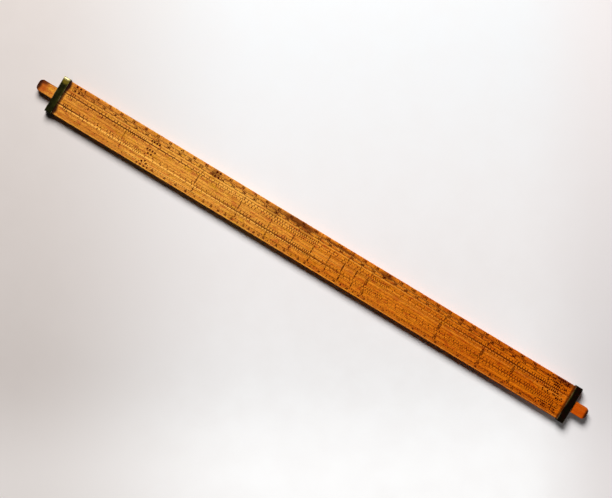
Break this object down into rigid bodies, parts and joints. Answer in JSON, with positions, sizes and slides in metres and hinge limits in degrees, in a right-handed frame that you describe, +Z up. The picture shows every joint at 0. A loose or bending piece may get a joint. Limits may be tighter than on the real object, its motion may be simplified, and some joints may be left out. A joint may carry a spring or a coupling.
{
  "type": "navigational slide rule",
  "caption": "Long flat boxwood slide rule: two engraved stocks bound by brass end bands, with a grooved slide that runs between them on tongues.",
  "frame": {"origin": "middle of the rule's underside, midway between the end bands and between the outer edges, at the level of the bands' undersides", "axes": "+X along the rule to the right, +Y across it towards its upper edge, +Z up through the engraved front face"},
  "size_m": [0.646, 0.0406, 0.0104],
  "materials": {
    "stock_boxwood": "worn, oiled and darkened with age",
    "slide_boxwood": "worn smooth and darkened with age",
    "band_brass": "tarnished nearly black, bright where rubbed",
    "rivet_brass": "filed flush, tarnished"
  },
  "bodies": {
    "stock": {"upper_stock": "stock_boxwood", "lower_stock": "stock_boxwood", "left_end_band": "band_brass", "right_end_band": "band_brass", "left_band_upper_rivets": "rivet_brass", "left_band_lower_rivets": "rivet_brass", "right_band_upper_rivets": "rivet_brass", "right_band_lower_rivets": "rivet_brass"},
    "slide": {"slide": "slide_boxwood"}
  },
  "joints": [
    {"name": "slide_travel", "type": "slide", "parent": "stock", "child": "slide", "axis": [1, 0, 0], "range_m": [-0.56, 0.56]}
  ]
}
